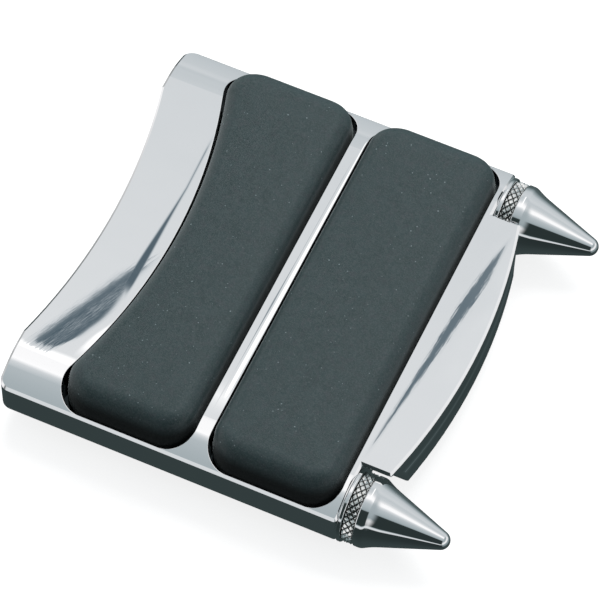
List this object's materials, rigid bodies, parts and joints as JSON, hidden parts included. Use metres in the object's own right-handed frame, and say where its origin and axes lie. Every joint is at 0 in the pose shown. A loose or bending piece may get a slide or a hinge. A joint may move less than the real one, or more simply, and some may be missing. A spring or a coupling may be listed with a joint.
{
  "type": "motorcycle brake pedal pad",
  "caption": "Chrome-plated motorcycle brake pedal pad with raised rubber treads in pockets, screw-in knurled spikes along one side and a bolt-on mounting block behind.",
  "frame": {"origin": "centre of the rectangle of mounting holes, on the back face of the mounting block", "axes": "+X from the concave edge towards the spikes, +Y along the treads, +Z out of the tread face"},
  "size_m": [0.0968, 0.0912, 0.0205],
  "materials": {
    "housing_chrome": "polished chrome plate on die-cast zinc",
    "spike_chrome": "polished chrome plate on turned steel",
    "knurled_chrome": "diamond knurl, chrome plated",
    "tread_rubber": "matt moulded rubber with a fine grain",
    "plated_steel": "bright zinc plate",
    "plate_steel": "pressed sheet, satin zinc plate",
    "block_aluminium": "machined face, bead-blasted sides"
  },
  "bodies": {
    "pad": {"housing": "housing_chrome", "inner_tread": "tread_rubber", "outer_tread": "tread_rubber", "inner_tread_core": "plated_steel", "outer_tread_core": "plated_steel", "inner_core_nuts": "plated_steel", "outer_core_nuts": "plated_steel", "backing_plate": "plate_steel", "backing_plate_screws": "plated_steel", "mounting_block": "block_aluminium", "block_screws": "plated_steel"},
    "near_carrier": {"near_spike_washer": "spike_chrome"},
    "near_spike": {"near_spike_point": "spike_chrome", "near_spike_collar": "knurled_chrome", "near_spike_stud": "plated_steel"},
    "far_carrier": {"far_spike_washer": "spike_chrome"},
    "far_spike": {"far_spike_point": "spike_chrome", "far_spike_collar": "knurled_chrome", "far_spike_stud": "plated_steel"}
  },
  "joints": [
    {"name": "near_spike_travel", "type": "slide", "parent": "pad", "child": "near_carrier", "axis": [1, 0, 0], "range_m": [0, 0.0096]},
    {"name": "near_spike_turn", "type": "hinge", "parent": "near_carrier", "child": "near_spike", "pos_m": [0.0325, -0.0378, 0.0087], "axis": [1, 0, 0], "range_deg": [0, 4321]},
    {"name": "far_spike_travel", "type": "slide", "parent": "pad", "child": "far_carrier", "axis": [1, 0, 0], "range_m": [0, 0.0096]},
    {"name": "far_spike_turn", "type": "hinge", "parent": "far_carrier", "child": "far_spike", "pos_m": [0.0325, 0.0378, 0.0087], "axis": [1, 0, 0], "range_deg": [0, 4321]}
  ],
  "couplings": [
    {"joint": "near_spike_turn", "follows": "near_spike_travel", "rad_per_m": 7854},
    {"joint": "far_spike_turn", "follows": "far_spike_travel", "rad_per_m": 7854}
  ]
}
